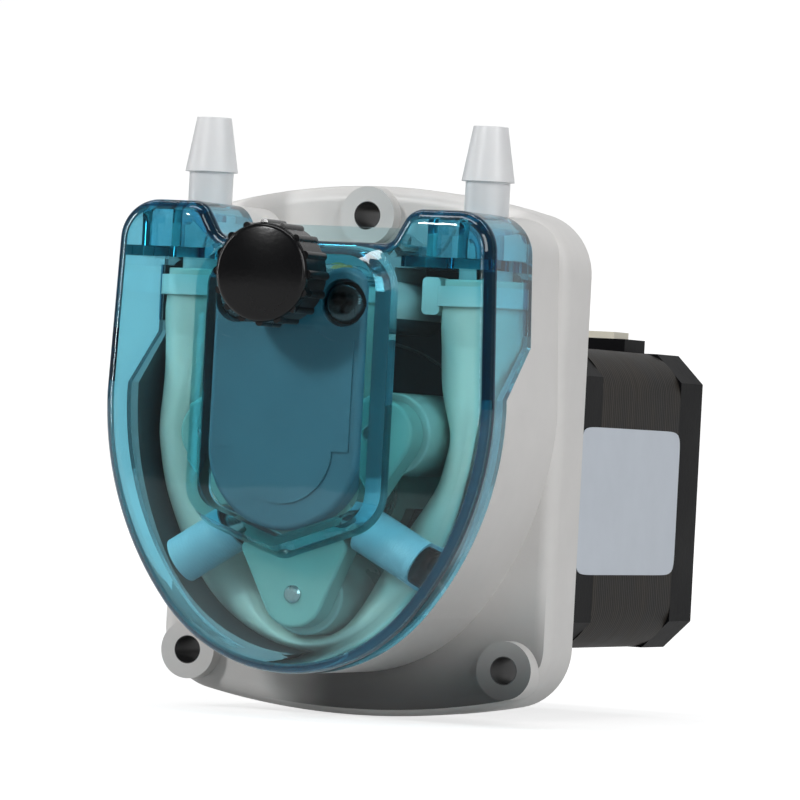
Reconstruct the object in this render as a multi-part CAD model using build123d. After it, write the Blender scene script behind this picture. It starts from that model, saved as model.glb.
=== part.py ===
from build123d import *
from math import atan2, cos, degrees, radians, sin, sqrt
import os

os.makedirs("parts", exist_ok=True)

# Peristaltic pump head on a 42 mm stepping motor. Millimetres, +Z up, the pump faces -Y.
# The origin is on the drive axis, in the plane of the flange rim that rests on the panel.

# Flange
flange_half_width = 28.8
flange_top = 41.3
flange_bottom = -30.8
flange_top_radius = 88.0
flange_bottom_radius = 105.0
flange_corner = 8.5
flange_face = -8.6
flange_plate = 3.0
skirt_wall = 2.4
face_fillet = 2.2

# The three fixing bosses of the flange
boss_radius = 3.97
boss_face = -11.0
hole_radius = 1.85
top_hole = (0, 37.07)
lower_holes = [(-23.45, -23.29), (23.45, -23.29)]

# Drum and cover: one outline, a bowl of three arcs below and two ears above
bowl_half_width = 28.1
bowl_depth = 36.4
bowl_start = 11.5
bowl_turn = 40.0
ear_half_width = 27.1
ear_top = 37.5
ear_inner_top = 15.0
ear_inner_foot = 12.4
drum_top = 32.8
ear_corner = 5.5

# Parting line of drum and cover, seen from the side
parting_low = -26.0
parting_high = -17.9
ramp_start = 12.8
ramp_end = 20.0
parting_gap = 0.1

# Cavity of the drum: a round bed that eases into straight sides
bed_radius = 22.4
bed_end = 30.0
cavity_half_width = 25.5
cavity_top = 30.0
floor_face = -7.0
floor_wall = 2.5
floor_ring_radius = 20.0

# Cover shell
cover_face = -32.7
cover_wall = 1.6
cover_rim = 2.6
shield_face = -36.6
shield_half_width = 13.0
shield_top = 30.9
shield_foot = -3.4
shield_tip = -8.1
shield_wall = 1.3
shield_flare = 1.7

# Bracket that carries the front bearing
bracket_front = -34.7
bracket_back = -31.2
bracket_half_width = 11.0
bracket_end_centre = 5.1
screw_spot = (7.7, 24.6)
bracket_top_radius = 4.7
pad_height = 0.25
pad_half_width = 9.6
pad_foot = 4.9
pad_top = 20.6
pad_round = 7.2

# Knob and its stud
knob_height = 27.9
knob_face = -44.9
knob_back = -38.3
knob_radius = 6.6
knob_ribs = 16
stud_radius = 1.5

# Rotor: three rollers and, between them, three guide sleeves
rotor_phase = 2.3
orbit = 14.3
roller_radius = 5.5
roller_front = -25.9
roller_back = -11.2
pin_radius = 1.2
pin_front = -30.3
front_plate = (-29.8, -26.0)
rear_plate = (-11.1, -8.1)
lobe_nose = 4.5
shoulder = (6.65, 8.2)
shoulder_round = 1.0
rotor_core = 8.6
core_back = -24.5
hub_radius = 7.0
sleeve_radius = 3.2
sleeve_plane = -27.5
sleeve_inner = 10.9
sleeve_outer = 20.1
running = 0.05

# Shaft line
shaft_radius = 3.0
journal_radius = 2.0
socket_radius = 5.0
motor_shaft_radius = 2.5

# Pump tube, its fittings and clamps
tube_radius = 4.8
tube_bore = 3.2
tube_x = 20.36
tube_y = -17.9
tube_end = 28.6
tube_gap = 0.2
clamp = (25.0, 27.7)
clamp_radius = 5.7
clamp_bore = 5.1

# Motor
motor_side = 42.3
motor_front = 17.0
stack_front = 25.7
stack_back = 56.2
motor_back = 64.9
motor_chamfer = 4.0
screw_pitch = 31.0
pilot_radius = 11.0


def prism(outline, back, front):
    """An X-Z outline carried from the plane y = back forward to y = front."""
    return extrude(Plane.XZ.offset(-back) * outline, back - front)


def rod(radius, back, front, x=0.0, z=0.0):
    """A round bar along Y."""
    return prism(Pos(x, z) * Circle(radius), back, front)


def upright(radius, low, high, x, y):
    """A round bar along Z."""
    return Pos(x, y, low) * Cylinder(radius, high - low, align=(Align.CENTER, Align.CENTER, Align.MIN))


def turned(shape, angle):
    """A shape turned about the drive axis, anticlockwise as seen from the front."""
    return Rot(0, -angle, 0) * shape


def solid_of(shape):
    """The one solid of a boolean result."""
    solids = shape.solids()
    return solids[0] if len(solids) == 1 else Compound(children=solids)


def save(name, shape, *group):
    """Write one node: a solid, or a group of separate solids."""
    pieces = [shape, *group]
    if group:
        export_step(Compound(children=[solid_of(p) for p in pieces]), f"parts/{name}.step")
    else:
        export_step(solid_of(shape), f"parts/{name}.step")
    print(name, round(sum(p.volume for p in pieces), 1))


# ------------------------------------------------------------- shared outlines

def flange_outline():
    height = flange_top - flange_bottom
    plate = Pos(0, flange_bottom + height / 2) * Rectangle(2 * flange_half_width, height)
    plate &= Pos(0, flange_top - flange_top_radius) * Circle(flange_top_radius)
    plate &= Pos(0, flange_bottom + flange_bottom_radius) * Circle(flange_bottom_radius)
    return fillet(plate.vertices(), flange_corner)


def mirrored(point):
    """The same point on the other side of the drive axis."""
    return -point[0], point[1]


def bowl_points():
    """Points of the bowl's right half: middle of its side arc, end of that arc, and its lowest point."""
    turn = radians(bowl_turn)
    spread = sin(turn) / (1 - cos(turn))
    low_radius = (bowl_half_width * spread - bowl_depth) / (cos(turn) * spread - 1 + sin(turn))
    side_radius = (bowl_half_width - low_radius * cos(turn)) / (1 - cos(turn))
    centre = bowl_half_width - side_radius
    middle = (centre + side_radius * cos(turn / 2), bowl_start - side_radius * sin(turn / 2))
    end = (centre + side_radius * cos(turn), bowl_start - side_radius * sin(turn))
    return middle, end, (0, bowl_start - bowl_depth)


def drum_outline():
    """Three arcs below, tapering sides, and two round-cornered ears with a saddle between."""
    side = [
        (bowl_half_width, bowl_start),
        (ear_half_width, ear_top),
        (ear_inner_top, ear_top),
        (ear_inner_foot, drum_top),
    ]
    middle, end, lowest = bowl_points()
    shape = make_face([
        Polyline(*side, *[mirrored(p) for p in reversed(side)]),
        ThreePointArc(mirrored(side[0]), mirrored(middle), mirrored(end)),
        ThreePointArc(mirrored(end), lowest, end),
        ThreePointArc(end, middle, side[0]),
    ])
    shape = Sketch() + shape
    outer = [v for v in shape.vertices() if v.Y > 35 and abs(v.X) > 20]
    shape = fillet(outer, ear_corner)
    inner = [v for v in shape.vertices() if v.Y > 35 and abs(abs(v.X) - ear_inner_top) < 0.5]
    shape = fillet(inner, 3.0)
    foot = [v for v in shape.vertices() if abs(v.Y - drum_top) < 0.1 and abs(abs(v.X) - ear_inner_foot) < 0.5]
    return fillet(foot, 2.0)


def side_centre():
    """Centre and radius of the arcs that ease the round bed into the straight sides."""
    turn = radians(bed_end)
    radius = (cavity_half_width - bed_radius * cos(turn)) / (1 - cos(turn))
    return cavity_half_width - radius, radius * sin(turn) - bed_radius * sin(turn), radius


def bed_at(angle):
    """Distance from the drive axis to the bed of the cavity, at an angle below the X axis."""
    across, height, radius = side_centre()
    fold = abs((angle + 90) % 360 - 180)
    if fold > 90 + bed_end:
        return bed_radius
    slope = radians(90 - fold)
    toward = -across * cos(slope) - height * sin(slope)
    return -toward + sqrt(toward ** 2 + radius ** 2 - across ** 2 - height ** 2)


def cavity_outline():
    across, height, radius = side_centre()
    turn = radians(bed_end)
    foot = (bed_radius * cos(turn), -bed_radius * sin(turn))
    middle = (across + radius * cos(turn / 2), height - radius * sin(turn / 2))
    side = (cavity_half_width, height)
    corner = (cavity_half_width, cavity_top)
    face = make_face([
        ThreePointArc(mirrored(foot), (0, -bed_radius), foot),
        ThreePointArc(foot, middle, side),
        Polyline(side, corner, mirrored(corner), mirrored(side)),
        ThreePointArc(mirrored(side), mirrored(middle), mirrored(foot)),
    ])
    return fillet([v for v in face.vertices() if v.Y > cavity_top - 0.1], 2.5)


def in_front(gap=0.0):
    """The space on the cover's side of the parting line."""
    low = parting_low - gap
    high = parting_high - gap
    profile = Polyline(
        (-80, -60), (low, -60), (low, ramp_start), (high, ramp_end), (high, 70), (-80, 70), close=True)
    return extrude(Plane.YZ * make_face(profile), 50, both=True)


def shield_outline():
    points = [
        (-shield_half_width, shield_top), (shield_half_width, shield_top),
        (shield_half_width, shield_foot), (0, shield_tip), (-shield_half_width, shield_foot)]
    face = Sketch() + make_face(Polyline(*points, close=True))
    sides = [v for v in face.vertices() if abs(v.X) > 1]
    face = fillet(sides, 4.6)
    return fillet([v for v in face.vertices() if abs(v.X) < 0.1], 1.2)


def lobes():
    """Three tapering lobes round a core, for both plates of the rotor."""
    shape = Sketch() + Circle(rotor_core)
    for turn in (30, 150, 270):
        corners = [Pos(x, shoulder[1]) * Circle(shoulder_round) for x in (-shoulder[0], shoulder[0])]
        nose = Pos(0, orbit) * Circle(lobe_nose)
        heart = Circle(2.5)
        lobe = make_hull((Sketch() + [nose, heart, *corners]).edges())
        shape += Rot(0, 0, turn + rotor_phase - 90) * lobe
    return shape


def fitting_seats(grow=0.0):
    """Room for the stems and collars of both fittings."""
    room = []
    for x in (-tube_x, tube_x):
        room.append(upright(3.0 + grow, cavity_top - 1, ear_top + 1, x, tube_y))
        room.append(upright(5.0 + grow, 31.4 - grow, 34.4 + grow, x, tube_y))
    return room


def clamp_pockets():
    """Hollows in the side walls that clear the tube clamps."""
    low, high = clamp
    return [upright(clamp_radius + 0.25, low - 3.5, high + 1.3, x, tube_y) for x in (-tube_x, tube_x)]


# ------------------------------------------------------------- housing

def base_housing():
    outline = flange_outline()
    body = prism(outline, 0, flange_face)
    body = fillet(body.faces().sort_by(Axis.Y)[0].edges(), face_fillet)
    body -= prism(offset(outline, -skirt_wall), 0, flange_face + flange_plate)

    drum = prism(drum_outline(), flange_face + flange_plate, parting_low)
    body += drum - in_front()

    half = motor_side / 2
    tower = fillet((Sketch() + Rectangle(motor_side, motor_side)).vertices(), 5.0)
    body += prism(tower, motor_front, flange_face)
    chamber = Circle(half - 3.0)
    for x in (-screw_pitch / 2, screw_pitch / 2):
        for z in (-screw_pitch / 2, screw_pitch / 2):
            chamber -= Pos(x, z) * Circle(4.4)
    body -= prism(chamber, motor_front - 3.0, 1.5)
    body -= rod(pilot_radius + 0.05, motor_front, motor_front - 3.0)

    for x, z in [top_hole, *lower_holes]:
        body += rod(boss_radius, 0, boss_face, x, z)
    rib = 1.6
    for x, z in [(0, 31.0), (-20.5, -23.3), (20.5, -23.3)]:
        spoke = Pos(x / 2, z / 2) * Rot(0, 0, degrees(atan2(z, x))) * Rectangle(sqrt(x * x + z * z), rib)
        body += prism(spoke, -1.0, flange_face + 1)

    body -= prism(cavity_outline(), floor_face, parting_low - 5)
    ring = Circle(floor_ring_radius + 0.3) - Circle(floor_ring_radius)
    body -= prism(ring, floor_face + 0.3, floor_face)

    sx, sz = screw_spot
    for x in (-sx, sx):
        body += rod(3.5, floor_face + 0.5, bracket_back, x, sz)
    web = Pos(0, 27.6) * Rectangle(2 * sx, 5.2)
    body += prism(web, floor_face + 0.5, parting_high)
    body += prism(Pos(0, 26.6) * Rectangle(2 * sx, 3.2), parting_high + 0.5, bracket_back + 1.5)
    for x in (-sx, sx):
        body -= rod(1.5, floor_face - 3, bracket_back, x, sz)
    body -= rod(2.4, -9.5, parting_high - 0.5, 0, knob_height)
    body -= rod(stud_radius + 0.4, -9.5, bracket_back, 0, knob_height)

    for seat in fitting_seats() + clamp_pockets():
        body -= seat
    for x, z in [top_hole, *lower_holes]:
        body -= rod(hole_radius, 1, boss_face - 1, x, z)
    for x in (-screw_pitch / 2, screw_pitch / 2):
        for z in (-screw_pitch / 2, screw_pitch / 2):
            body -= rod(1.6, motor_front + 1, floor_face - 1, x, z)
            body -= rod(3.0, -3.5, floor_face - 1, x, z)
    body -= rod(9.5, 1.5, -5.0)
    body -= rod(6.5, 0, floor_face - 1)
    return body


# ------------------------------------------------------------- cover and knob

def transparent_cover():
    outline = drum_outline()
    shell = prism(outline, parting_high, cover_face)
    shell = fillet(shell.faces().sort_by(Axis.Y)[0].edges(), cover_rim)
    shell -= prism(offset(outline, -cover_wall), parting_high + 1, cover_face + cover_wall)

    window = shield_outline()
    foot = Plane.XZ.offset(-(cover_face + 0.4)) * offset(window, shield_flare)
    top = Plane.XZ.offset(-shield_face) * window
    raised = loft([foot.faces()[0], top.faces()[0]])
    shell += raised
    shell -= prism(offset(window, -shield_wall), cover_face + 3, shield_face + shield_wall)
    shell += prism(Pos(0, knob_height) * Circle(3.4) & offset(window, -0.4), shield_face + 2.2, shield_face + 1)

    for x in (-1, 1):
        for rib in (18.6, 23.0):
            shell += Pos(x * rib, (cover_face + parting_high) / 2, 33.6) * Box(
                1.4, parting_high - cover_face - 1, 5.4)
        shell += Pos(x * 20.3, (cover_face + parting_high) / 2, 30.5) * Box(
            12.0, parting_high - cover_face - 1, 1.4)
    strip = Pos(0, drum_top + 0.4) * RectangleRounded(18.0, 4.0, 0.8)
    shell += prism(strip, parting_high, parting_high - 1.3)
    shell &= in_front(parting_gap)
    for seat in fitting_seats(0.1) + clamp_pockets():
        shell -= seat
    shell -= rod(stud_radius + 0.15, cover_face + 6, shield_face - 1, 0, knob_height)
    return shell


def thumb_knob():
    body = rod(knob_radius, knob_back, knob_face, 0, knob_height)
    body = fillet(body.faces().sort_by(Axis.Y)[0].edges(), 0.7)
    for i in range(knob_ribs):
        angle = radians(360 / knob_ribs * i)
        x = (knob_radius - 0.1) * cos(angle)
        z = (knob_radius - 0.1) * sin(angle)
        body += rod(0.55, knob_back, knob_face + 0.55, x, knob_height + z)
    body += rod(3.4, shield_face - 0.1, knob_back, 0, knob_height)
    return body - rod(stud_radius, shield_face, knob_face + 2.0, 0, knob_height)


def knob_stud():
    return rod(stud_radius, -10.0, knob_face + 2.0, 0, knob_height)


def stud_insert():
    body = rod(2.4, -9.5, parting_high, 0, knob_height)
    return body - rod(stud_radius + running, -9.0, parting_high - 1, 0, knob_height)


# ------------------------------------------------------------- front bracket

def bracket_outline():
    sx, sz = screw_spot
    end = Pos(0, bracket_end_centre) * Circle(bracket_half_width)
    tall = Pos(0, (bracket_end_centre + sz) / 2) * Rectangle(2 * bracket_half_width, sz - bracket_end_centre)
    tops = [Pos(x, sz) * Circle(bracket_top_radius) for x in (-sx, sx)]
    clip = Rectangle(2 * bracket_half_width, 80)
    shape = (Sketch() + [end, tall, *tops, Pos(0, sz) * Rectangle(2 * sx, 3.0)]) & clip
    return shape - Pos(0, knob_height) * Circle(3.4)


def front_bracket():
    sx, sz = screw_spot
    plate = prism(bracket_outline(), bracket_back, bracket_front + pad_height)
    front = plate.faces().sort_by(Axis.Y)[0]
    plate = fillet(front.edges(), 0.8)
    pad = Pos(0, (pad_foot + pad_top) / 2) * Rectangle(2 * pad_half_width, pad_top - pad_foot)
    pad = (Sketch() + pad) + Pos(0, pad_foot) * Circle(pad_round)
    pad -= [Pos(x, sz) * Circle(5.2) for x in (-sx, sx)]
    plate += prism(pad, bracket_front + 1, bracket_front)
    plate += rod(5.4, bracket_back, pin_front)
    plate -= rod(4.0, pin_front, pin_front - 3.0)
    plate -= rod(2.6, pin_front, pin_front - 3.3)
    for x in (-sx, sx):
        plate -= rod(3.2, bracket_front + 2.3, bracket_front - 1, x, sz)
        plate -= rod(1.6, bracket_back, bracket_front, x, sz)
    return plate


def cross_screw(head_radius, head_height, radius, length):
    """A pan head with a cross recess, its head's underside at the origin, its shank along +Y."""
    head = fillet(rod(head_radius, 0, -head_height).faces().sort_by(Axis.Y)[0].edges(), head_height * 0.55)
    for turn in (0, 90):
        slot = Rot(0, 0, turn) * Rectangle(head_radius, head_radius * 0.24)
        head -= prism(slot, -head_height * 0.35, -head_height - 1)
    return head + rod(radius, length, 0)


# ------------------------------------------------------------- rotor

def rotor_front_plate():
    plate = prism(lobes(), front_plate[1], front_plate[0])
    plate = fillet(plate.faces().sort_by(Axis.Y)[0].edges(), 0.5)
    plate += rod(rotor_core, core_back, front_plate[1])
    for angle in roller_angles:
        plate -= turned(rod(pin_radius, -20, -40, orbit, 0), angle)
    for angle in sleeve_angles:
        plate -= turned(spindle_bar(), angle)
    return plate - rod(shaft_radius, -20, -40)


def rotor_rear_plate():
    plate = prism(lobes(), rear_plate[1], rear_plate[0])
    for angle in roller_angles:
        plate -= turned(rod(pin_radius, 0, -20, orbit, 0), angle)
    return plate - rod(shaft_radius, 0, -20)


def rotor_hub():
    hub = rod(hub_radius, rear_plate[0], core_back)
    return hub - rod(shaft_radius, 0, -40)


def roller_pin():
    pin = rod(pin_radius, rear_plate[1], pin_front, orbit, 0)
    tip = pin.faces().sort_by(Axis.Y)[0]
    return chamfer(tip.edges(), 0.3)


def along_radius(radius, near, far):
    """A bar along the X axis in the plane of the guide sleeves."""
    bar = Cylinder(radius, far - near, align=(Align.CENTER, Align.CENTER, Align.MIN))
    return Pos(near, sleeve_plane, 0) * Rot(0, 90, 0) * bar


def spindle_bar():
    return along_radius(1.5, 4.0, 13.1)


def guide_spindle():
    return spindle_bar() + along_radius(1.9, rotor_core, sleeve_inner - 0.05) + along_radius(2.2, 13.05, 14.4)


def guide_sleeve():
    sleeve = along_radius(sleeve_radius, sleeve_inner, sleeve_outer)
    sleeve -= along_radius(1.5 + running, sleeve_inner - 1, sleeve_outer)
    return sleeve - along_radius(2.6, 13.0, sleeve_outer + 1)


def squeeze_roller():
    body = rod(roller_radius, roller_back, roller_front, orbit, 0)
    ends = body.edges().filter_by(GeomType.CIRCLE)
    body = fillet(ends, 0.4)
    for back, front in ((roller_back, roller_back - 1.2), (roller_front + 1.2, roller_front)):
        body -= rod(4.0, back, front, orbit, 0) - rod(2.3, back, front, orbit, 0)
    return body - rod(pin_radius + running, 0, -40, orbit, 0)


def drive_shaft():
    body = rod(journal_radius, -30.0, pin_front - 3.1)
    body += rod(shaft_radius, -8.0, -30.0)
    body += rod(socket_radius, 13.0, -8.0)
    return body - rod(motor_shaft_radius, 14, -6.0)


# ------------------------------------------------------------- bearings

def ball_bearing(bore, outside, front, width):
    """Both rings and the shields between them, as one turned ring with a groove on each face."""
    body = rod(outside, front + width, front)
    land = (outside - bore) * 0.28
    for back, face in ((front + width, front + width - 0.3), (front + 0.3, front)):
        body -= rod(outside - land, back, face) - rod(bore + land, back, face)
    return body - rod(bore, front + width + 1, front - 1)


# ------------------------------------------------------------- tube, fittings and clamps

def on_circle(radius, angle):
    return radius * cos(radians(angle)), radius * sin(radians(angle))


def tube_stations():
    """Centre and half thickness of the pump tube's sections, from its left to its right end."""
    lowest = 270 + rotor_phase
    folds = {lowest: 1.15}
    for step, thin in {8: 1.38, 16: 2.0, 24: 2.8, 34: 3.9, 46: 4.55}.items():
        folds[lowest + step] = thin
        folds[lowest - step] = thin
    for step, thin in {32: 4.7, 16: 4.4, 0: 3.8}.items():
        folds[180 + step] = thin
        folds[360 - step] = thin
    arc = []
    for angle, thin in sorted(folds.items()):
        arc.append((on_circle(bed_at(angle) - tube_gap - thin, angle), thin))

    legs = []
    for side, angle in ((-1, roller_angles[1]), (1, roller_angles[0])):
        roller_x, roller_z = on_circle(orbit, angle)
        near = abs(roller_x) + roller_radius + 3 * tube_gap
        far = cavity_half_width - 3 * tube_gap
        heights = {tube_end: 4.78, 27.0: 4.78, 25.3: 4.78, 23.8: 5.15, 22.4: 5.1, 20.0: 4.8, 17.2: 4.65, 14.5: 4.45}
        leg = [((side * tube_x, z), thin) for z, thin in heights.items()]
        leg.append(((side * (near + far) / 2, roller_z), (far - near) / 2))
        legs.append(leg)
    return legs[0] + arc + legs[1][::-1]


def tube_loft(wall, stretch=0.0):
    """An oval of constant girth carried through the stations, taken in by a wall."""
    stations = tube_stations()
    last = len(stations) - 1
    sections = []
    for index, ((x, z), thin) in enumerate(stations):
        before, after = stations[max(index - 1, 0)][0], stations[min(index + 1, last)][0]
        ahead = (after[0] - before[0], 0, after[1] - before[1])
        if z == tube_end:
            z += stretch
        wide = max(sqrt(2 * tube_radius ** 2 - min(thin, tube_radius) ** 2), thin)
        plane = Plane((x, tube_y, z), x_dir=(0, -1, 0), z_dir=ahead)
        sections.append((plane * Ellipse(wide - wall, max(thin - wall, 0.12))).faces()[0])
    return loft(sections)


def pump_tube():
    return tube_loft(0.0) - tube_loft(tube_radius - tube_bore, 1.0)


def fitting_shape(x):
    """Outside of a hose fitting: barb above, collar in the ear, barb below in the pump tube."""
    profile = [
        (0, 49.28), (2.35, 49.28), (3.575, 41.9), (3.0, 41.9), (3.0, 34.4), (5.0, 34.4), (5.0, 31.4),
        (3.0, 31.4), (3.0, 24.6), (3.55, 24.6), (3.55, 23.6), (2.5, 20.4), (0, 20.4)]
    half = make_face(Polyline(*profile, close=True))
    return Pos(x, tube_y, 0) * revolve(Plane.XZ * half, Axis.Z)


def hose_fitting(x):
    body = fitting_shape(x)
    return body - upright(1.7, 15, 55, x, tube_y)


def tube_clamp(side):
    x = side * tube_x
    low, high = clamp
    ring = upright(clamp_radius, low, high, x, tube_y)
    block = Pos(x - side * 6.4, tube_y, (low + high) / 2) * Box(2.6, 3.6, 5.0)
    block = fillet(block.edges().filter_by(Axis.Y), 0.7)
    return ring + block - upright(clamp_bore, low - 2, high + 2, x, tube_y)


# ------------------------------------------------------------- motor

def motor_square(corner, rounded=False):
    square = Sketch() + Rectangle(motor_side, motor_side)
    return fillet(square.vertices(), corner) if rounded else chamfer(square.vertices(), corner)


def motor_corners():
    half = screw_pitch / 2
    return [(x, z) for x in (-half, half) for z in (-half, half)]


def motor_front_cap():
    cap = prism(motor_square(motor_chamfer), stack_front, motor_front)
    cap += rod(pilot_radius, motor_front, motor_front - 2.0)
    cap -= rod(8.0, stack_front, stack_front - 5.0)
    cap -= rod(3.4, stack_front, motor_front - 3)
    for x, z in motor_corners():
        cap -= rod(1.5, stack_front, motor_front, x, z)
    return cap


def motor_stator_stack():
    stack = prism(motor_square(6.5, True), stack_back, stack_front)
    stack -= rod(8.4, stack_back, stack_front)
    for x, z in motor_corners():
        stack -= rod(1.5, stack_back, stack_front, x, z)
    return stack


def motor_rear_cap():
    cap = prism(motor_square(motor_chamfer), motor_back, stack_back)
    cap += Pos(0, 60.4, 21.6) * Box(24.0, 8.0, 3.0)
    cap -= Pos(0, 60.2, 19.6) * Box(20.0, 6.0, 9.0)
    cap -= rod(8.0, stack_back + 5.0, stack_back)
    cap -= rod(10.0, motor_back, motor_back - 0.6) - rod(9.0, motor_back, motor_back - 0.6)
    for x, z in motor_corners():
        cap -= rod(1.6, motor_back, stack_back, x, z)
        cap -= rod(3.0, motor_back, motor_back - 2.6, x, z)
    return cap


def motor_connector():
    shell = Pos(0, 60.2, 19.6) * Box(20.0, 6.0, 9.0)
    shell &= Pos(0, 60.2, 19.75) * Box(19.8, 5.8, 9.3)
    shell -= Pos(0, 60.2, 21.6) * Box(18.2, 4.2, 9.0)
    for pin in contact_pins():
        shell -= pin
    return shell


def contact_pins():
    return [Pos(2.5 * i, 60.2, 18.8) * Box(0.6, 0.6, 6.5) for i in range(-3, 4)]


roller_angles = [30 + rotor_phase, 150 + rotor_phase, 270 + rotor_phase]
sleeve_angles = [90 + rotor_phase, 210 + rotor_phase, 330 + rotor_phase]

save("base_housing", base_housing())
save("transparent_cover", transparent_cover())
save("thumb_knob", thumb_knob())
save("knob_stud", knob_stud())
save("stud_insert", stud_insert())

save("front_bracket", front_bracket())
bracket_screw = cross_screw(2.8, 2.1, 1.5, 17.0)
bracket_screw_seat = bracket_front + 2.3
save("bracket_screws", *[Pos(x, bracket_screw_seat, screw_spot[1]) * bracket_screw
                         for x in (-screw_spot[0], screw_spot[0])])
save("front_bearing", ball_bearing(journal_radius + 0.03, 4.0, pin_front - 3.0, 3.0))
save("rear_bearing", ball_bearing(socket_radius + 0.03, 9.5, -5.0, 5.0))

save("rotor_front_plate", rotor_front_plate())
save("rotor_rear_plate", rotor_rear_plate())
save("rotor_hub", rotor_hub())
save("roller_pins", *[turned(roller_pin(), a) for a in roller_angles])
save("guide_spindles", *[turned(guide_spindle(), a) for a in sleeve_angles])
for name, angle in zip(("right", "left", "lower"), roller_angles):
    save(f"squeeze_roller_{name}", turned(squeeze_roller(), angle))
for name, angle in zip(("upper", "left", "right"), sleeve_angles):
    save(f"guide_sleeve_{name}", turned(guide_sleeve(), angle))
save("drive_shaft", drive_shaft())

save("pump_tube", pump_tube())
for name, side in (("left", -1), ("right", 1)):
    save(f"hose_fitting_{name}", hose_fitting(side * tube_x))
    save(f"tube_clamp_{name}", tube_clamp(side))

save("motor_front_cap", motor_front_cap())
save("motor_stator_stack", motor_stator_stack())
save("motor_rear_cap", motor_rear_cap())
save("motor_connector", motor_connector())
save("connector_pins", *contact_pins())
save("motor_front_bearing", ball_bearing(motor_shaft_radius + 0.03, 8.0, stack_front - 5.0, 5.0))
save("motor_rear_bearing", ball_bearing(motor_shaft_radius + 0.03, 8.0, stack_back, 5.0))
save("motor_shaft", rod(motor_shaft_radius, stack_back + 4.8, -6.0))
save("motor_rotor_core", rod(8.0, stack_back - 2, stack_front + 2) - rod(motor_shaft_radius, 70, 0))
save("motor_mount_screws", *[Pos(x, -3.5, z) * cross_screw(2.75, 2.0, 1.5, motor_front + 7.5)
                             for x, z in motor_corners()])
motor_screw = Rot(180, 0, 0) * cross_screw(2.75, 2.0, 1.5, motor_back - 2.6 - 22.0)
save("motor_long_screws", *[Pos(x, motor_back - 2.6, z) * motor_screw for x, z in motor_corners()])
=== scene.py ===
from math import atan2, cos, degrees, pi, radians, sin

import bpy
import numpy as np
from mathutils import Matrix, Vector


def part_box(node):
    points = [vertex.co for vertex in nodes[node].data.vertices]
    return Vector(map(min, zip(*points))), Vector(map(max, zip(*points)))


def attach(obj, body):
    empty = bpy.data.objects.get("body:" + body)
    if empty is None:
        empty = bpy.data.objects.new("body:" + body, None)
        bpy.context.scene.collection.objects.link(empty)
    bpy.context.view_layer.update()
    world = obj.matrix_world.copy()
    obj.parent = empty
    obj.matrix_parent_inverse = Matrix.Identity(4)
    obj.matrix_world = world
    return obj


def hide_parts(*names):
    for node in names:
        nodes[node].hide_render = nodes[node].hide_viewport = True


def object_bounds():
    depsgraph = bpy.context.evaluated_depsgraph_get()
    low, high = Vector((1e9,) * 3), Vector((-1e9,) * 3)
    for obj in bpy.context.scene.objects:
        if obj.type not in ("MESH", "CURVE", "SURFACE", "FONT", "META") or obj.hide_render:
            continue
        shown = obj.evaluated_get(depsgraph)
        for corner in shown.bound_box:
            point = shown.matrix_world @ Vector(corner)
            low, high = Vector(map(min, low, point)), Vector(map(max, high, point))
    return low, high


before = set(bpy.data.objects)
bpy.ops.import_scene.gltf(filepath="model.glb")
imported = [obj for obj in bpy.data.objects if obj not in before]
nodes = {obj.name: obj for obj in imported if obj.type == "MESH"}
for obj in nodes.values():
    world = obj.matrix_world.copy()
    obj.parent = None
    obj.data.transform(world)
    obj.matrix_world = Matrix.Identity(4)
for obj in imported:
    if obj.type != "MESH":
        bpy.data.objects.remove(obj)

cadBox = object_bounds()
scene = bpy.context.scene
print("frame loaded:", len(nodes), "nodes")

# a long lens a little right of the pump's front, level with its axis and rolled clockwise; angles in degrees
camera = {"place": (0.356063, -0.821560, 0.007785), "azimuth": 23.3424, "elevation": -0.2930, "roll": 3.0380,
          "lens": 293.8, "sensor": 36, "nearest": 0.05}


def setCamera():
    data = bpy.data.cameras.new("camera")
    data.lens = camera["lens"]
    data.sensor_width = camera["sensor"]
    data.clip_start = camera["nearest"]
    made = bpy.data.objects.new("camera", data)
    made.matrix_world = (Matrix.Translation(camera["place"])
                         @ Matrix.Rotation(radians(camera["azimuth"]), 4, "Z")
                         @ Matrix.Rotation(radians(90 - camera["elevation"]), 4, "X")
                         @ Matrix.Rotation(radians(camera["roll"]), 4, "Z"))
    scene.collection.objects.link(made)
    scene.camera = made


setCamera()
print("camera set")

# paper that is bright to the eye and less so in reflections; gap: how far below the pump it lies
floor = {"size": 6.0, "back": 2.4, "rise": 1.2, "wall": 1.5, "gap": 0.0002, "flatSteps": 21, "bendSteps": 41,
         "light": (0.42, 0.42, 0.42), "dark": (0.42, 0.42, 0.42), "roughness": 0.9, "glow": 0.74,
         "mirrored": 0.5}


def curvedFloor():
    # flat out to the back distance, then a quarter circle upward: a profile carried sideways
    low = cadBox[0][2] - floor["gap"]
    half = floor["size"] / 2
    turned = np.linspace(0, 1, floor["bendSteps"]) * pi / 2
    flat = np.stack([np.linspace(-half, floor["back"], floor["flatSteps"]), np.zeros(floor["flatSteps"])], 1)
    bend = np.stack([floor["back"] + floor["rise"] * np.sin(turned), floor["rise"] * (1 - np.cos(turned))], 1)
    wall = np.array([[floor["back"] + floor["rise"], floor["rise"] + floor["wall"]]])
    profile = np.concatenate([flat, bend[1:], wall])
    sideways = np.linspace(-half, half, 3)
    grid = np.empty((len(profile), len(sideways), 3))
    grid[..., 0] = sideways[None, :]
    grid[..., 1] = profile[:, None, 0]
    grid[..., 2] = profile[:, None, 1] + low
    return grid


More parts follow.
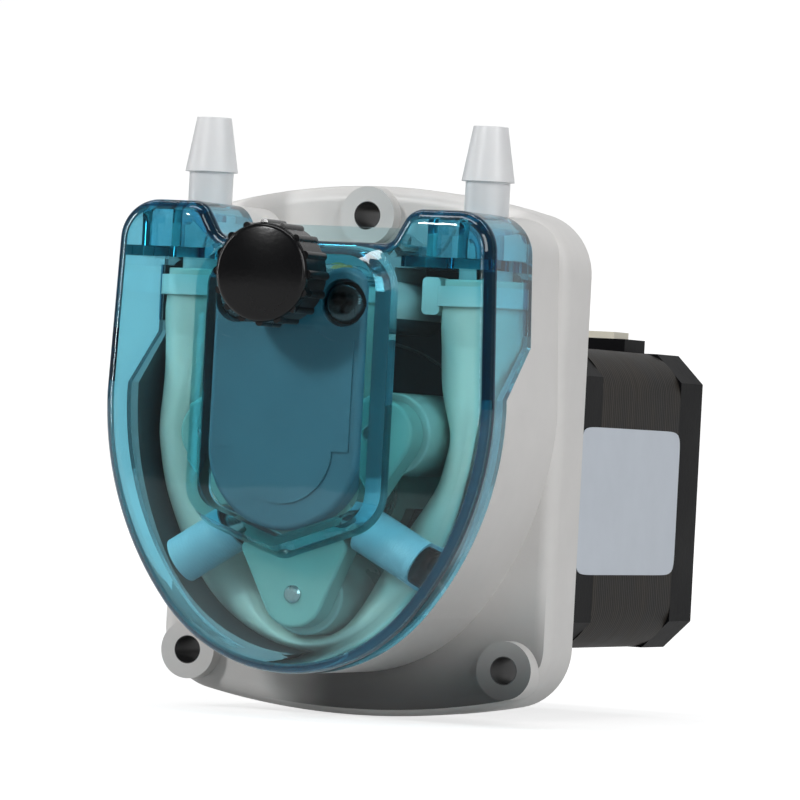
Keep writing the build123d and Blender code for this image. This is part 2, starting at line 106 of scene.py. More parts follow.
def gridFaces(rows, columns, wrapRows=False, wrapColumns=False):
    down = np.arange(rows if wrapRows else rows - 1)
    across = np.arange(columns if wrapColumns else columns - 1)
    i, j = np.meshgrid(down, across, indexing="ij")
    nextI, nextJ = (i + 1) % rows, (j + 1) % columns
    corners = [i * columns + j, i * columns + nextJ, nextI * columns + nextJ, nextI * columns + j]
    return np.stack(corners, -1).reshape(-1, 4)


def gridObject(name, grid, wrapRows=False, wrapColumns=False, caps=False, smooth=True):
    rows, columns = grid.shape[:2]
    faces = gridFaces(rows, columns, wrapRows, wrapColumns).tolist()
    if caps:
        faces.append(list(range(columns))[::-1])
        faces.append(list(range((rows - 1) * columns, rows * columns)))
    mesh = bpy.data.meshes.new(name)
    mesh.from_pydata(grid.reshape(-1, 3).tolist(), [], faces)
    mesh.polygons.foreach_set("use_smooth", [smooth] * len(faces))
    mesh.update()
    made = bpy.data.objects.new(name, mesh)
    scene.collection.objects.link(made)
    return made


floorObject = gridObject("floor", curvedFloor())


def feed(tree, node, values):
    # a number or a colour is set on the socket itself, and anything else is linked to it
    for key, value in values.items():
        if isinstance(value, (int, float, tuple)):
            node.inputs[key].default_value = value
        else:
            tree.links.new(value, node.inputs[key])


def add(tree, kind, values=None, **settings):
    node = tree.nodes.new(kind)
    for key, value in settings.items():
        setattr(node, key, value)
    feed(tree, node, values or {})
    return node


def mathNode(tree, operation, first, second=None, clamped=False):
    values = {0: first} if second is None else {0: first, 1: second}
    return add(tree, "ShaderNodeMath", values, operation=operation, use_clamp=clamped).outputs[0]


def product(tree, first, *others):
    for value in others:
        first = mathNode(tree, "MULTIPLY", first, value)
    return first


def squareSum(tree, first, second):
    return mathNode(tree, "ADD", mathNode(tree, "POWER", first, 2.0), mathNode(tree, "POWER", second, 2.0))


def between(tree, value, low, high):
    # one where the value lies between the two, else zero
    return product(tree, mathNode(tree, "GREATER_THAN", value, low), mathNode(tree, "LESS_THAN", value, high))


def split(tree, vector):
    return add(tree, "ShaderNodeSeparateXYZ", {0: vector}).outputs


def mixed(tree, mask, first, second):
    # the second colour where the mask is one
    return add(tree, "ShaderNodeMix", {"Factor": mask, 6: first, 7: second}, data_type="RGBA").outputs[2]


def mixedShader(tree, mask, first, second):
    # the second shader where the mask is one
    shaders = {1: first.outputs[0], 2: second.outputs[0]}
    return add(tree, "ShaderNodeMixShader", {"Fac": mask, **shaders}).outputs[0]


# a white studio to the eye, also through the clear cover, and a dim one as a light
studio = {"seen": (1, 1, 1, 1), "brightness": 1.1, "ambient": (0.93, 0.97, 1, 1), "strength": 0.16}


def setWorld():
    world = bpy.data.worlds.new("studio")
    world.use_nodes = True
    scene.world = world
    tree = world.node_tree
    tree.nodes.clear()
    seen = add(tree, "ShaderNodeBackground", {"Color": studio["seen"], "Strength": studio["brightness"]})
    ambient = add(tree, "ShaderNodeBackground", {"Color": studio["ambient"], "Strength": studio["strength"]})
    path = add(tree, "ShaderNodeLightPath").outputs
    bounced = mathNode(tree, "ADD", path["Diffuse Depth"], path["Glossy Depth"])
    through = mathNode(tree, "SUBTRACT", path["Is Transmission Ray"], bounced, clamped=True)
    direct = mathNode(tree, "MAXIMUM", path["Is Camera Ray"], through)
    add(tree, "ShaderNodeOutputWorld", {"Surface": mixedShader(tree, direct, ambient, seen)})


setWorld()

# place and aim in metres, size of the soft box, watts
lamps = {
    "keyFromRight": {"at": (0.66, -0.30, 0.34), "aim": (0.01, 0, 0), "size": (0.24, 0.5), "power": 2.5},
    "stripRight": {"at": (0.50, -0.62, 0.10), "aim": (0, 0, 0), "size": (0.035, 0.6), "power": 0.7},
    "frontFromLeft": {"at": (-0.32, -0.74, 0.46), "aim": (0, -0.01, 0), "size": (0.12, 0.12), "power": 2.6},
    "overhead": {"at": (0, -0.12, 0.70), "aim": (0, 0, 0), "size": (0.6, 0.12), "power": 1.5},
    "stripLeft": {"at": (-0.70, -0.16, 0.10), "aim": (0, -0.02, 0), "size": (0.05, 0.7), "power": 1.9},
    "backdropWash": {"at": (0, 1.0, 1.6), "aim": (0, 2.8, 0.2), "size": (3.0, 1.0), "power": 60.0},
}


def addLamp(name, lamp):
    data = bpy.data.lights.new(name, "AREA")
    data.shape = "RECTANGLE"
    data.size, data.size_y = lamp["size"]
    data.energy = lamp["power"]
    made = bpy.data.objects.new(name, data)
    made.location = lamp["at"]
    away = Vector(lamp["at"]) - Vector(lamp["aim"])
    made.rotation_euler = away.to_track_quat("Z", "Y").to_euler()
    scene.collection.objects.link(made)


for name, lamp in lamps.items():
    addLamp(name, lamp)
scene.view_settings.view_transform = "Standard"
print("floor, world and", len(lamps), "lights set")


def newGroup(name, inputs, outputs):
    group = bpy.data.node_groups.new(name, "ShaderNodeTree")
    for label, kind, value in inputs:
        socket = group.interface.new_socket(label, in_out="INPUT", socket_type=kind)
        if value is not None:
            socket.default_value = value
    for label, kind in outputs:
        group.interface.new_socket(label, in_out="OUTPUT", socket_type=kind)
    return group, add(group, "NodeGroupInput").outputs, add(group, "NodeGroupOutput")


def grainGroup():
    # fine moulded grain: noise at two sizes, the coarse one stronger, raised along the normal
    group, entry, leave = newGroup(
        "mouldedGrain",
        [("Vector", "NodeSocketVector", None), ("Scale", "NodeSocketFloat", 3000.0),
         ("Depth", "NodeSocketFloat", 0.15)],
        [("Normal", "NodeSocketVector"), ("Mask", "NodeSocketFloat")])
    coarseScale = mathNode(group, "MULTIPLY", entry["Scale"], 0.04)
    fine = add(group, "ShaderNodeTexNoise", {"Vector": entry["Vector"], "Scale": entry["Scale"], "Detail": 3})
    coarse = add(group, "ShaderNodeTexNoise", {"Vector": entry["Vector"], "Scale": coarseScale, "Detail": 2})
    height = mathNode(group, "ADD", fine.outputs["Fac"],
                      mathNode(group, "MULTIPLY", coarse.outputs["Fac"], 1.5))
    bump = add(group, "ShaderNodeBump", {"Distance": 0.00005, "Strength": entry["Depth"], "Height": height})
    feed(group, leave, {"Normal": bump.outputs["Normal"], "Mask": coarse.outputs["Fac"]})
    return group


def toneGroup():
    # slow drift between two colours, with a faint mottle
    group, entry, leave = newGroup(
        "toneDrift",
        [("Vector", "NodeSocketVector", None), ("Light", "NodeSocketColor", (1, 1, 1, 1)),
         ("Dark", "NodeSocketColor", (0.8, 0.8, 0.8, 1)), ("Scale", "NodeSocketFloat", 60.0)],
        [("Color", "NodeSocketColor"), ("Mask", "NodeSocketFloat")])
    drift = add(group, "ShaderNodeTexNoise", {
        "Vector": entry["Vector"], "Scale": entry["Scale"], "Detail": 5, "Roughness": 0.6})
    spread = add(group, "ShaderNodeMapRange", {
        "Value": drift.outputs["Fac"], "From Min": 0.35, "From Max": 0.65}).outputs["Result"]
    feed(group, leave, {"Color": mixed(group, spread, entry["Dark"], entry["Light"]), "Mask": spread})
    return group


def stripeGroup():
    # even stripes along a direction: half of one plus the sine of the distance along it
    group, entry, leave = newGroup(
        "evenStripes",
        [("Vector", "NodeSocketVector", None), ("Direction", "NodeSocketVector", (0, 1, 0)),
         ("Pitch", "NodeSocketFloat", 0.0005)],
        [("Mask", "NodeSocketFloat")])
    along = add(group, "ShaderNodeVectorMath", {0: entry["Vector"], 1: entry["Direction"]},
                operation="DOT_PRODUCT")
    turns = mathNode(group, "DIVIDE", along.outputs["Value"], entry["Pitch"])
    wave = mathNode(group, "SINE", mathNode(group, "MULTIPLY", turns, 2 * pi))
    feed(group, leave, {"Mask": mathNode(group, "ADD", mathNode(group, "MULTIPLY", wave, 0.5), 0.5)})
    return group


grain = grainGroup()
tone = toneGroup()
stripes = stripeGroup()


def useGroup(tree, group, vector, **values):
    return add(tree, "ShaderNodeGroup", {"Vector": vector, **values}, node_tree=group).outputs


def newMaterial(name):
    material = bpy.data.materials.new(name)
    material.use_nodes = True
    tree = material.node_tree
    place = add(tree, "ShaderNodeTexCoord").outputs["Object"]
    return material, tree, tree.nodes["Principled BSDF"], place


def soFar(shader, name):
    # what is linked to one of the shader's sockets up to now
    return shader.inputs[name].links[0].from_socket


def roughAbout(tree, mask, middle, spread):
    return add(tree, "ShaderNodeMapRange", {
        "Value": mask, "To Min": middle - spread / 2, "To Max": middle + spread / 2}).outputs["Result"]


def raiseSurface(tree, shader, mask, strength, distance):
    # raised on top of the normal so far
    bump = add(tree, "ShaderNodeBump", {
        "Strength": strength, "Distance": distance, "Height": mask, "Normal": soFar(shader, "Normal")})
    feed(tree, shader, {"Normal": bump.outputs["Normal"]})


def plastic(name, look, grainScale=3000.0, grainDepth=0.15, driftScale=60.0, roughSpread=0.08, coat=0.0,
            subsurface=0.0, gloss=0.5):
    material, tree, shader, place = newMaterial(name)
    tint = useGroup(tree, tone, place, Light=(*look["light"], 1), Dark=(*look["dark"], 1), Scale=driftScale)
    skin = useGroup(tree, grain, place, Scale=grainScale, Depth=grainDepth)
    feed(tree, shader, {
        "Base Color": tint["Color"], "Normal": skin["Normal"],
        "Roughness": roughAbout(tree, tint["Mask"], look["roughness"], roughSpread),
        "Specular IOR Level": gloss, "Coat Weight": coat, "Coat Roughness": 0.15,
        "Subsurface Weight": subsurface, "Subsurface Radius": (1.0, 0.9, 0.8), "Subsurface Scale": 0.002})
    return material, tree, shader, place


def metal(name, look):
    # fine lines across the drive axis, as turning leaves them
    material, tree, shader, place = newMaterial(name)
    tint = useGroup(tree, tone, place, Light=(*look["light"], 1), Dark=(*look["dark"], 1), Scale=220.0)
    lines = useGroup(tree, stripes, place, Direction=(0, 1, 0), Pitch=0.00012)
    bump = add(tree, "ShaderNodeBump", {"Strength": 0.05, "Distance": 0.00002, "Height": lines["Mask"]})
    feed(tree, shader, {
        "Base Color": tint["Color"], "Normal": bump.outputs["Normal"], "Metallic": 1.0,
        "Roughness": roughAbout(tree, tint["Mask"], look["roughness"], 0.12)})
    return material, tree, shader, place


def paint(material, *names):
    for name in names:
        mesh = nodes[name].data
        mesh.materials.clear()
        mesh.materials.append(material)


# the spans lie along y: the cavity's floor, its lining and the rim under the cover, all three with painted
# shade; reach:
# radius of the lining's round lower part and top: its height, both from the drive axis; line: radius of a
# fine ring on the floor where its painted shade is lighter; shadeDown and shadeAcross: where the flange's
# shade begins and is full
housing = {
    "light": (0.74, 0.725, 0.71), "dark": (0.66, 0.648, 0.634), "roughness": 0.4,
    # the floor, lining and land colours are painted shade for the cavity and the rim under the cover
    "shadedFloorSpan": (-0.0080, -0.0062), "floor": (0.012, 0.018, 0.026, 1),
    "shadedLiningSpan": (-0.0275, -0.0062), "paintedLiningShade": (0.050, 0.068, 0.082, 1), "reach": 0.0268, "top": 0.0312,
    "landSpan": (-0.0264, -0.0172), "land": (0.30, 0.33, 0.35, 1),
    "line": 0.0202, "lineHalf": 0.00018, "lineShare": 0.3,
    "holes": ((0, 0.03707), (-0.02345, -0.02329), (0.02345, -0.02329)), "hole": 0.00193,
    # painted shade inside the three holes
    "paintedHollowShade": (0.035, 0.035, 0.036, 1),
    "flangeFrom": -0.0118, "shadeDown": (-0.010, -0.029), "shadeAcross": (-0.014, -0.002),
    "shade": (0.075, 0.075, 0.075, 1),
}


def softStep(tree, value, start, end):
    return add(tree, "ShaderNodeMapRange", {"Value": value, "From Min": start, "From Max": end},
               interpolation_type="SMOOTHSTEP").outputs["Result"]


def shadedLiningMask(tree, at, way, fromAxis):
    # walls that look towards the axis, which get painted shade: their normal against the way out from it
    outward = mathNode(tree, "ADD", mathNode(tree, "MULTIPLY", way["X"], at["X"]),
                       mathNode(tree, "MULTIPLY", way["Z"], at["Z"]))
    inward = mathNode(tree, "LESS_THAN", outward, -0.0005)
    bowl = mathNode(tree, "LESS_THAN", fromAxis, housing["reach"])
    near = mathNode(tree, "MAXIMUM", bowl, between(tree, at["Z"], 0.0, housing["top"]))
    return product(tree, inward, between(tree, at["Y"], *housing["shadedLiningSpan"]), near)


def housingMaterial():
    material, tree, shader, place = plastic("housing_plastic", housing, grainScale=2600.0, grainDepth=0.22,
                                            driftScale=35.0)
    at = split(tree, place)
    way = split(tree, add(tree, "ShaderNodeTexCoord").outputs["Normal"])
    fromAxis = mathNode(tree, "SQRT", squareSum(tree, at["X"], at["Z"]))
    facesFront = mathNode(tree, "LESS_THAN", way["Y"], -0.8)
    colour = soFar(shader, "Base Color")
    # the flange's face darkens downward, below the drum
    onFlange = product(tree, mathNode(tree, "GREATER_THAN", at["Y"], housing["flangeFrom"]), facesFront)
    shaded = product(tree, softStep(tree, at["Z"], *housing["shadeDown"]), onFlange,
                     softStep(tree, at["X"], *housing["shadeAcross"]))
    colour = mixed(tree, shaded, colour, housing["shade"])
    # painted shade inside the holes
    for x, z in housing["holes"]:
        away = squareSum(tree, mathNode(tree, "SUBTRACT", at["X"], x), mathNode(tree, "SUBTRACT", at["Z"], z))
        inHole = mathNode(tree, "LESS_THAN", away, housing["hole"] ** 2)
        colour = mixed(tree, inHole, colour, housing["paintedHollowShade"])
    # painted shade on the cavity's walls that face the axis
    colour = mixed(tree, shadedLiningMask(tree, at, way, fromAxis), colour, housing["paintedLiningShade"])
    # the rim under the cover gets painted shade too
    onShadedLand = product(tree, between(tree, at["Y"], *housing["landSpan"]),
                     mathNode(tree, "LESS_THAN", way["Y"], -0.4))
    colour = mixed(tree, onShadedLand, colour, housing["land"])
    # painted shade on the cavity's floor, a little lighter on a fine ring
    ring = mathNode(tree, "COMPARE", fromAxis, housing["line"])
    feed(tree, ring.node, {2: housing["lineHalf"]})
    offRing = mathNode(tree, "SUBTRACT", 1.0, mathNode(tree, "MULTIPLY", ring, housing["lineShare"]))
    onShadedFloor = product(tree, between(tree, at["Y"], *housing["shadedFloorSpan"]), facesFront, offRing)
    feed(tree, shader, {"Base Color": mixed(tree, onShadedFloor, colour, housing["floor"])})
    return material


paint(housingMaterial(), "base_housing")

# from wall to face, the colours of the sides and the front, with three colours for the painted dark, middle
# and bright
# reflection lines along a rounded rim: the last value of each is how clear it is; shieldSpan: the raised
# shield along y;
# shadow: what light keeps on its way through; absorb and density: the colour inside and how soon it tells,
# per metre
cover = {
    "wall": (0.40, 0.72, 0.84, 0.98), "paintedDarkLine": (0.003, 0.05, 0.15, 0.87), "paintedMidLine": (0.012, 0.18, 0.33, 0.94),
    "glow": (0.50, 0.88, 0.97, 1), "face": (0.95, 0.985, 0.99, 1), "shieldSpan": (-0.0360, -0.0331),
    "roughness": 0.012, "index": 1.49, "flowScale": 90.0, "flowStrength": 0.04, "flowDepth": 0.0002,
    "shadow": (0.78, 0.84, 0.83, 1), "absorb": (0.05, 0.68, 0.76, 1), "density": 240.0,
}
# where each painted reflection line lies, by how squarely it faces the front: 0 on a wall and 1 on the face
rimLines = ((0.04, "wall"), (0.10, "paintedDarkLine"), (0.26, "paintedMidLine"), (0.34, "glow"), (0.42, "paintedDarkLine"), (0.60, "paintedMidLine"),
            (0.76, "paintedDarkLine"), (0.90, "glow"), (0.985, "face"))
slantLines = ((0.58, "wall"), (0.66, "paintedDarkLine"), (0.74, "paintedMidLine"), (0.79, "glow"), (0.84, "paintedDarkLine"), (0.94, "glow"),
              (0.985, "face"))


def lineRamp(tree, squareness, lines):
    ramp = add(tree, "ShaderNodeValToRGB", {"Fac": squareness})
    stops = ramp.color_ramp.elements
    for stop, (spot, name) in ((stops[0], lines[0]), (stops[1], lines[-1])):
        stop.position = spot
        stop.color = cover[name]
    for spot, name in lines[1:-1]:
        stops.new(spot).color = cover[name]
    return ramp.outputs


def clearCover():
    material, tree, shader, place = newMaterial("blue_clear_cover")
    way = split(tree, add(tree, "ShaderNodeTexCoord").outputs["Normal"])
    squareness = mathNode(tree, "ABSOLUTE", way["Y"])
    rim = lineRamp(tree, squareness, rimLines)
    slant = lineRamp(tree, squareness, slantLines)
    # the raised shield's slanted walls have painted reflection lines of their own
    raised = between(tree, split(tree, place)["Y"], *cover["shieldSpan"])
    clear = add(tree, "ShaderNodeMix", {"Factor": raised, 2: rim["Alpha"], 3: slant["Alpha"]})
    # faint waves bend what shows through
    flow = add(tree, "ShaderNodeTexNoise", {"Vector": place, "Scale": cover["flowScale"], "Detail": 1})
    bump = add(tree, "ShaderNodeBump", {
        "Strength": cover["flowStrength"], "Distance": cover["flowDepth"], "Height": flow.outputs["Fac"]})
    feed(tree, shader, {
        "Base Color": mixed(tree, raised, rim["Color"], slant["Color"]), "Normal": bump.outputs["Normal"],
        "Transmission Weight": clear.outputs[0], "Roughness": cover["roughness"], "IOR": cover["index"]})
    # light for what lies behind passes straight through
    through = add(tree, "ShaderNodeBsdfTransparent", {"Color": cover["shadow"]})
    shadowRay = add(tree, "ShaderNodeLightPath").outputs["Is Shadow Ray"]
    soak = add(tree, "ShaderNodeVolumeAbsorption", {"Color": cover["absorb"], "Density": cover["density"]})
    feed(tree, tree.nodes["Material Output"], {
        "Surface": mixedShader(tree, shadowRay, shader, through), "Volume": soak.outputs[0]})
    return material


paint(clearCover(), "transparent_cover")
print("housing and cover finished")

bracket = {"light": (0.054, 0.150, 0.205), "dark": (0.046, 0.130, 0.180), "roughness": 0.42}
paint(plastic("bracket_plastic", bracket, grainScale=3400.0, grainDepth=0.2)[0], "front_bracket")

# dome: how fast the knob's face slopes away from its axis, per metre
knob = {"light": (0.0035, 0.0035, 0.004), "dark": (0.0015, 0.0015, 0.002), "roughness": 0.26, "coat": 0.35,
        "gloss": 0.12, "dome": 18.0, "axis": (0, 0, 0.0279)}


def knobMaterial():
    material, tree, shader, place = plastic("knob_plastic", knob, grainScale=1400.0, grainDepth=0.25,
                                            roughSpread=0.1, coat=knob["coat"], gloss=knob["gloss"])
    middle = add(tree, "ShaderNodeVectorMath", {0: place, 1: knob["axis"]}, operation="SUBTRACT")
    away = split(tree, middle.outputs[0])
    height = mathNode(tree, "MULTIPLY", squareSum(tree, away["X"], away["Z"]), -knob["dome"])
    raiseSurface(tree, shader, height, 1.0, 1.0)
    feed(tree, shader, {"Coat Normal": soFar(shader, "Normal")})
    return material


paint(knobMaterial(), "thumb_knob")

# spot: the bracket screws' axes, either side of the middle; reach: how wide the painted shade in their cross
# recess is; depth: where it begins along y
bracketScrew = {"light": (0.10, 0.115, 0.125), "dark": (0.06, 0.07, 0.078), "roughness": 0.27,
                "spot": (0.0077, 0.0246), "reach": 0.0015, "depth": -0.03425,
                "recess": (0.001, 0.001, 0.0012, 1)}


def bracketScrewMaterial():
    material, tree, shader, place = metal("blackened_steel", bracketScrew)
    at = split(tree, place)
    aside = mathNode(tree, "SUBTRACT", mathNode(tree, "ABSOLUTE", at["X"]), bracketScrew["spot"][0])
    above = mathNode(tree, "SUBTRACT", at["Z"], bracketScrew["spot"][1])
    near = mathNode(tree, "LESS_THAN", squareSum(tree, aside, above), bracketScrew["reach"] ** 2)
    # painted shade in the screws' cross recess
    recess = product(tree, near, mathNode(tree, "GREATER_THAN", at["Y"], bracketScrew["depth"]))
    colour = mixed(tree, recess, soFar(shader, "Base Color"), bracketScrew["recess"])
    feed(tree, shader, {"Base Color": colour})
    return material


paint(bracketScrewMaterial(), "bracket_screws")

mountScrew = {"light": (0.055, 0.06, 0.066), "dark": (0.03, 0.033, 0.037), "roughness": 0.24}
paint(metal("black_oxide", mountScrew)[0], "motor_mount_screws")

longScrew = {"light": (0.42, 0.42, 0.43), "dark": (0.30, 0.30, 0.31), "roughness": 0.2}
paint(metal("dull_steel", longScrew)[0], "motor_long_screws")

steel = {"light": (0.62, 0.62, 0.61), "dark": (0.5, 0.5, 0.5), "roughness": 0.26}
paint(metal("turned_steel", steel)[0],
      "knob_stud", "front_bearing", "rear_bearing", "roller_pins", "guide_spindles", "drive_shaft",
      "motor_shaft", "motor_front_bearing", "motor_rear_bearing", "rotor_hub", "motor_rotor_core")

brass = {"light": (0.72, 0.52, 0.24), "dark": (0.6, 0.42, 0.18), "roughness": 0.3}
paint(metal("brass", brass)[0], "stud_insert", "connector_pins")
print("bracket, knob and screws finished")

rotor = {"light": (0.29, 0.47, 0.43), "dark": (0.25, 0.42, 0.385), "roughness": 0.36}
paint(plastic("rotor_plastic", rotor, grainScale=3600.0, grainDepth=0.1, subsurface=0.15)[0],
      "rotor_front_plate", "rotor_rear_plate")

roller = {"light": (0.38, 0.51, 0.48), "dark": (0.33, 0.46, 0.43), "roughness": 0.3}
paint(plastic("roller_plastic", roller, grainScale=3600.0, grainDepth=0.06, subsurface=0.15)[0],
      "squeeze_roller_right", "squeeze_roller_left", "squeeze_roller_lower")

# plane: where the sleeves' axes lie along y; first: the angle of the first one's axis in degrees, and each of
# the others is a third of a turn on
sleeve = {"light": (0.37, 0.58, 0.69), "dark": (0.32, 0.52, 0.63), "roughness": 0.3, "pitch": 0.0005,
          "ringStrength": 0.35, "ringDepth": 0.00005, "plane": -0.0275, "bore": 0.00275,
          # the colour inside the bore is painted shade
          "paintedHollowShade": (0.02, 0.03, 0.04, 1), "names": ("upper", "left", "right"), "first": 92.3}


def sleeveMaterial(name, angle):
    # fine turned rings round the sleeve, spaced along its own axis
    direction = (cos(radians(angle)), 0, sin(radians(angle)))
    material, tree, shader, place = plastic("sleeve_plastic_" + name, sleeve, grainScale=3600.0,
                                            grainDepth=0.05, subsurface=0.1)
    rings = useGroup(tree, stripes, place, Direction=direction, Pitch=sleeve["pitch"])
    raiseSurface(tree, shader, rings["Mask"], sleeve["ringStrength"], sleeve["ringDepth"])
    # the bore gets painted shade: the distance from the axis is the length of the place crossed with the
    # direction
    plane = (0, sleeve["plane"], 0)
    middle = add(tree, "ShaderNodeVectorMath", {0: place, 1: plane}, operation="SUBTRACT").outputs[0]
    crossed = add(tree, "ShaderNodeVectorMath", {0: middle, 1: direction}, operation="CROSS_PRODUCT")
    away = add(tree, "ShaderNodeVectorMath", {0: crossed.outputs[0]}, operation="LENGTH").outputs["Value"]
    inBore = mathNode(tree, "LESS_THAN", away, sleeve["bore"])
    colour = mixed(tree, inBore, soFar(shader, "Base Color"), sleeve["paintedHollowShade"])
    feed(tree, shader, {"Base Color": colour})
    return material


for turn, name in enumerate(sleeve["names"]):
    paint(sleeveMaterial(name, sleeve["first"] + 120 * turn), "guide_sleeve_" + name)
print("rotor, rollers and sleeves finished")

# bed and side: where the tube's outside lies in the bowl and against the side walls, from the drive axis;
# mouth: the same level with that axis, edge: the degrees in which the bed widens so far, edgeDip: how much
# thinner the tube is there; open, shut and spread: half its thickness free and under the lower roller, and
# the degrees it takes to open; clear: its distance from the side rollers, least: half its bore when flat;
# leg: heights down a leg with half the thickness there, held open above by the fitting and its clamp
tube = {
    "y": -0.0179, "radius": 0.0048, "wall": 0.0016, "samples": 420, "around": 64, "smooth": 0.0016,
    "bowl": (194, 346), "bowlSteps": 77, "bed": 0.0222, "side": 0.0249, "mouth": 0.02385,
    "mouthThin": 0.00375, "edge": 30, "edgeDip": 0.0009, "edgePower": 1.5,
    "open": 0.00465, "shut": 0.0011, "spread": 29.5, "spreadPower": 2.2, "clear": 0.0006, "least": 0.0001,
    "leg": ((0.0286, 0.00475), (0.0253, 0.00475), (0.0238, 0.0052), (0.0224, 0.0051), (0.0200, 0.0048),
            (0.0145, 0.0045)),
    "light": (0.80, 0.785, 0.70), "dark": (0.74, 0.725, 0.64), "roughness": 0.36,
}


def middleOf(name):
    low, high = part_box(name)
    return (low + high) / 2


def legStations(side, name):
    # straight down from the fitting, out round the roller, then back to the bowl's edge: x, z, half thickness
    x = abs(middleOf("hose_fitting_" + name).x)
    low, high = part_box("squeeze_roller_" + name)
    near = max(abs(low.x), abs(high.x)) + tube["clear"]
    straight = [(x, z, thin) for z, thin in tube["leg"]]
    pressed = ((near + tube["side"]) / 2, (low.z + high.z) / 2, (tube["side"] - near) / 2)
    edge = (tube["mouth"] - tube["mouthThin"], 0.0, tube["mouthThin"])
    return np.array(straight + [pressed, edge]) * (side, 1, 1)


def bowlStations():
    # the outside lies on the bed, which widens towards both edges, and half the thickness is the open one,
    # less a dip about the lower roller's direction, e to the minus (angle / spread) to a power, and less a
    # smaller one at the edges
    roller = middleOf("squeeze_roller_lower")
    squeeze = degrees(atan2(roller.z, roller.x)) % 360
    angle = np.linspace(*tube["bowl"], tube["bowlSteps"])
    edge = np.clip(1 - np.minimum(angle - 180, 360 - angle) / tube["edge"], 0, 1)
    dip = np.exp(-(np.abs(angle - squeeze) / tube["spread"]) ** tube["spreadPower"])
    edgeDip = tube["edgeDip"] * edge ** tube["edgePower"]
    thin = tube["open"] - (tube["open"] - tube["shut"]) * dip - edgeDip
    reach = tube["bed"] + (tube["mouth"] - tube["bed"]) * edge ** 2 - thin
    return np.stack([reach * np.cos(np.radians(angle)), reach * np.sin(np.radians(angle)), thin], 1)


def evenLine(values, samples, window):
    # straight runs between the stations, read at even steps, then averaged under a bell curve
    steps = np.hypot(*np.diff(values[:, :2], axis=0).T)
    reach = np.concatenate([[0], np.cumsum(steps)])
    even = np.linspace(0, reach[-1], samples)
    line = np.stack([np.interp(even, reach, column) for column in values.T], 1)
    spread = window / (even[1] - even[0])
    offsets = np.arange(-int(3 * spread) - 1, int(3 * spread) + 2)
    weights = np.exp(-0.5 * (offsets / spread) ** 2)
    weights /= weights.sum()
    # both ends are carried on, mirrored, so that they stay where they are
    first = 2 * line[0] - line[len(offsets):0:-1]
    last = 2 * line[-1] - line[-2:-len(offsets) - 2:-1]
    longer = np.concatenate([first, line, last])
    smooth = np.stack([np.convolve(column, weights, "same") for column in longer.T], 1)
    return smooth[len(first):len(first) + samples]


def pumpTube():
    # an oval of constant girth carried along the line, out along the outside and back along the bore
    stations = np.concatenate([legStations(-1, "left"), bowlStations(), legStations(1, "right")[::-1]])
    line = evenLine(stations, tube["samples"], tube["smooth"])
    centre, thin = line[:, :2], line[:, 2]
    along = np.gradient(centre, axis=0)
    along /= np.linalg.norm(along, axis=1)[:, None]
    across = np.stack([along[:, 1], -along[:, 0]], 1)
    wide = np.sqrt(np.maximum(2 * tube["radius"] ** 2 - np.minimum(thin, tube["radius"]) ** 2, thin ** 2))
    angle = np.linspace(0, 2 * pi, tube["around"], endpoint=False)

    def skin(inset):
        flat = np.maximum(thin - inset, tube["least"])
        grid = np.empty((len(line), tube["around"], 3))
        grid[..., 0] = centre[:, None, 0] + across[:, None, 0] * flat[:, None] * np.sin(angle)
        grid[..., 1] = tube["y"] - (wide - inset)[:, None] * np.cos(angle)
        grid[..., 2] = centre[:, None, 1] + across[:, None, 1] * flat[:, None] * np.sin(angle)
        return grid

    return np.concatenate([skin(0), skin(tube["wall"])[::-1]])


tubeObject = gridObject("pump_tubing", pumpTube(), wrapRows=True, wrapColumns=True)
tubeObject.data.materials.append(
    plastic("tube_rubber", tube, grainScale=1800.0, grainDepth=0.08, driftScale=90.0, subsurface=0.3)[0])
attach(tubeObject, "housing")
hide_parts("pump_tube")
print("pump tube finished")

# through: the share of light that passes into the nylon
fitting = {"light": (0.98, 0.98, 0.985), "dark": (0.95, 0.955, 0.965), "roughness": 0.38, "through": 0.3}


def fittingMaterial():
    material, tree, shader, place = plastic("fitting_nylon", fitting, grainScale=300.0, grainDepth=0.0,
                                            driftScale=40.0)
    feed(tree, shader, {"Transmission Weight": fitting["through"]})
    return material


paint(fittingMaterial(), "hose_fitting_left", "hose_fitting_right")

clamp = {"light": (0.80, 0.89, 0.86), "dark": (0.74, 0.84, 0.81), "roughness": 0.35}
paint(plastic("clamp_nylon", clamp, grainDepth=0.08, subsurface=0.2)[0],
      "tube_clamp_left", "tube_clamp_right")
print("fittings and clamps finished")

motorCap = {"light": (0.006, 0.006, 0.007), "dark": (0.003, 0.003, 0.0035), "roughness": 0.46}
paint(plastic("black_motor_caps", motorCap, grainScale=1500.0, grainDepth=0.35, gloss=0.06)[0],
      "motor_front_cap", "motor_rear_cap")

# thin plates stacked along the motor: plateShare: how much of each one's tone is its own, gapShare: how much
# the gaps between them change it
stack = {"light": (0.038, 0.032, 0.026), "dark": (0.010, 0.009, 0.008), "roughness": 0.5, "pitch": 0.0007,
         "plateShare": 1.3, "gapShare": 0.25, "gapStrength": 0.35, "gapDepth": 0.00005, "metallic": 0.12}


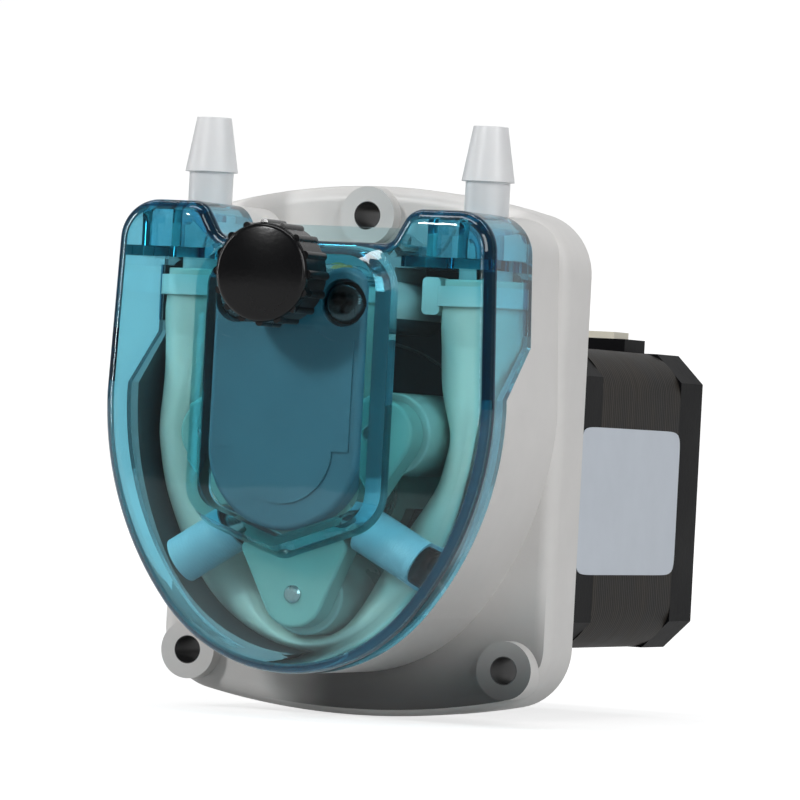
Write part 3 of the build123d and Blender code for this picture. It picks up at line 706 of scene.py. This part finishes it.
def plateStack():
    material, tree, shader, place = plastic("stator_plates", stack, grainScale=2200.0, grainDepth=0.2,
                                            driftScale=160.0, gloss=0.12)
    gaps = useGroup(tree, stripes, place, Direction=(0, 1, 0), Pitch=stack["pitch"])["Mask"]
    plate = mathNode(tree, "MULTIPLY", split(tree, place)["Y"], 1 / stack["pitch"])
    each = add(tree, "ShaderNodeTexNoise", noise_dimensions="1D")
    feed(tree, each, {"W": plate, "Scale": 1.0})
    shade = mathNode(tree, "ADD", mathNode(tree, "MULTIPLY", each.outputs["Fac"], stack["plateShare"]),
                     mathNode(tree, "MULTIPLY", gaps, stack["gapShare"]))
    toned = add(tree, "ShaderNodeMix", {"Factor": 1.0, 6: soFar(shader, "Base Color"), 7: shade},
                data_type="RGBA", blend_type="MULTIPLY")
    raiseSurface(tree, shader, gaps, stack["gapStrength"], stack["gapDepth"])
    feed(tree, shader, {"Base Color": toned.outputs[2], "Metallic": stack["metallic"]})
    return material


paint(plateStack(), "motor_stator_stack")

connector = {"light": (0.78, 0.74, 0.62), "dark": (0.72, 0.68, 0.56), "roughness": 0.4}
paint(plastic("connector_nylon", connector)[0], "motor_connector")

# bare sticker on the motor's right side: metres along y and z; squareness: how tight its corners are
label = {"along": (0.0186, 0.0566), "up": (-0.0105, 0.0101), "face": 0.02115, "thick": 0.00012,
         "glue": 0.00001, "squareness": 14, "rings": 12, "around": 160, "middle": 0.02,
         "light": (0.58, 0.64, 0.72), "dark": (0.54, 0.60, 0.68), "roughness": 0.34}


def stickerSheet():
    # a rounded rectangle drawn as rings from its middle to its edge, on the front and then on the back: the
    # edge lies at one over (cosine ^ squareness + sine ^ squareness) ^ (1 / squareness)
    angle = np.linspace(0, 2 * pi, label["around"], endpoint=False)
    power = label["squareness"]
    edge = 1 / ((np.abs(np.cos(angle)) ** power + np.abs(np.sin(angle)) ** power) ** (1 / power))
    outward = np.linspace(label["middle"], 1, label["rings"])
    scale = np.concatenate([outward, outward[::-1]])
    lift = np.repeat([label["thick"], label["glue"]], label["rings"])
    grid = np.empty((len(scale), len(angle), 3))
    grid[..., 0] = label["face"] + lift[:, None]
    for axis, span, wave in ((1, label["along"], np.cos(angle)), (2, label["up"], np.sin(angle))):
        grid[..., axis] = sum(span) / 2 + (span[1] - span[0]) / 2 * scale[:, None] * edge * wave
    # turned round, so that its faces look outward
    return grid[:, ::-1]


stickerObject = gridObject("motor_sticker", stickerSheet(), wrapColumns=True, caps=True, smooth=False)
stickerObject.data.materials.append(
    plastic("sticker_film", label, grainScale=900.0, grainDepth=0.05, driftScale=120.0, coat=0.4)[0])
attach(stickerObject, "housing")
print("motor finished")


def floorPaper():
    # pale paper: it sends little light back up, and shows white to the eye
    material, tree, shader, place = plastic("floor_paper", floor, grainScale=400.0, grainDepth=0.02,
                                            gloss=0.1)
    glow = add(tree, "ShaderNodeEmission", {"Strength": floor["glow"]})
    both = add(tree, "ShaderNodeAddShader", {0: shader.outputs[0], 1: glow.outputs[0]})
    path = add(tree, "ShaderNodeLightPath").outputs
    through = mathNode(tree, "SUBTRACT", path["Is Transmission Ray"], path["Glossy Depth"])
    mirrored = mathNode(tree, "MULTIPLY", path["Is Glossy Ray"], floor["mirrored"])
    indirect = mathNode(tree, "SUBTRACT", mathNode(tree, "MAXIMUM", through, mirrored), path["Diffuse Depth"],
                        clamped=True)
    seen = mathNode(tree, "MAXIMUM", path["Is Camera Ray"], indirect)
    feed(tree, tree.nodes["Material Output"], {"Surface": mixedShader(tree, seen, shader, both)})
    return material


floorObject.data.materials.append(floorPaper())
print("floor paper finished")
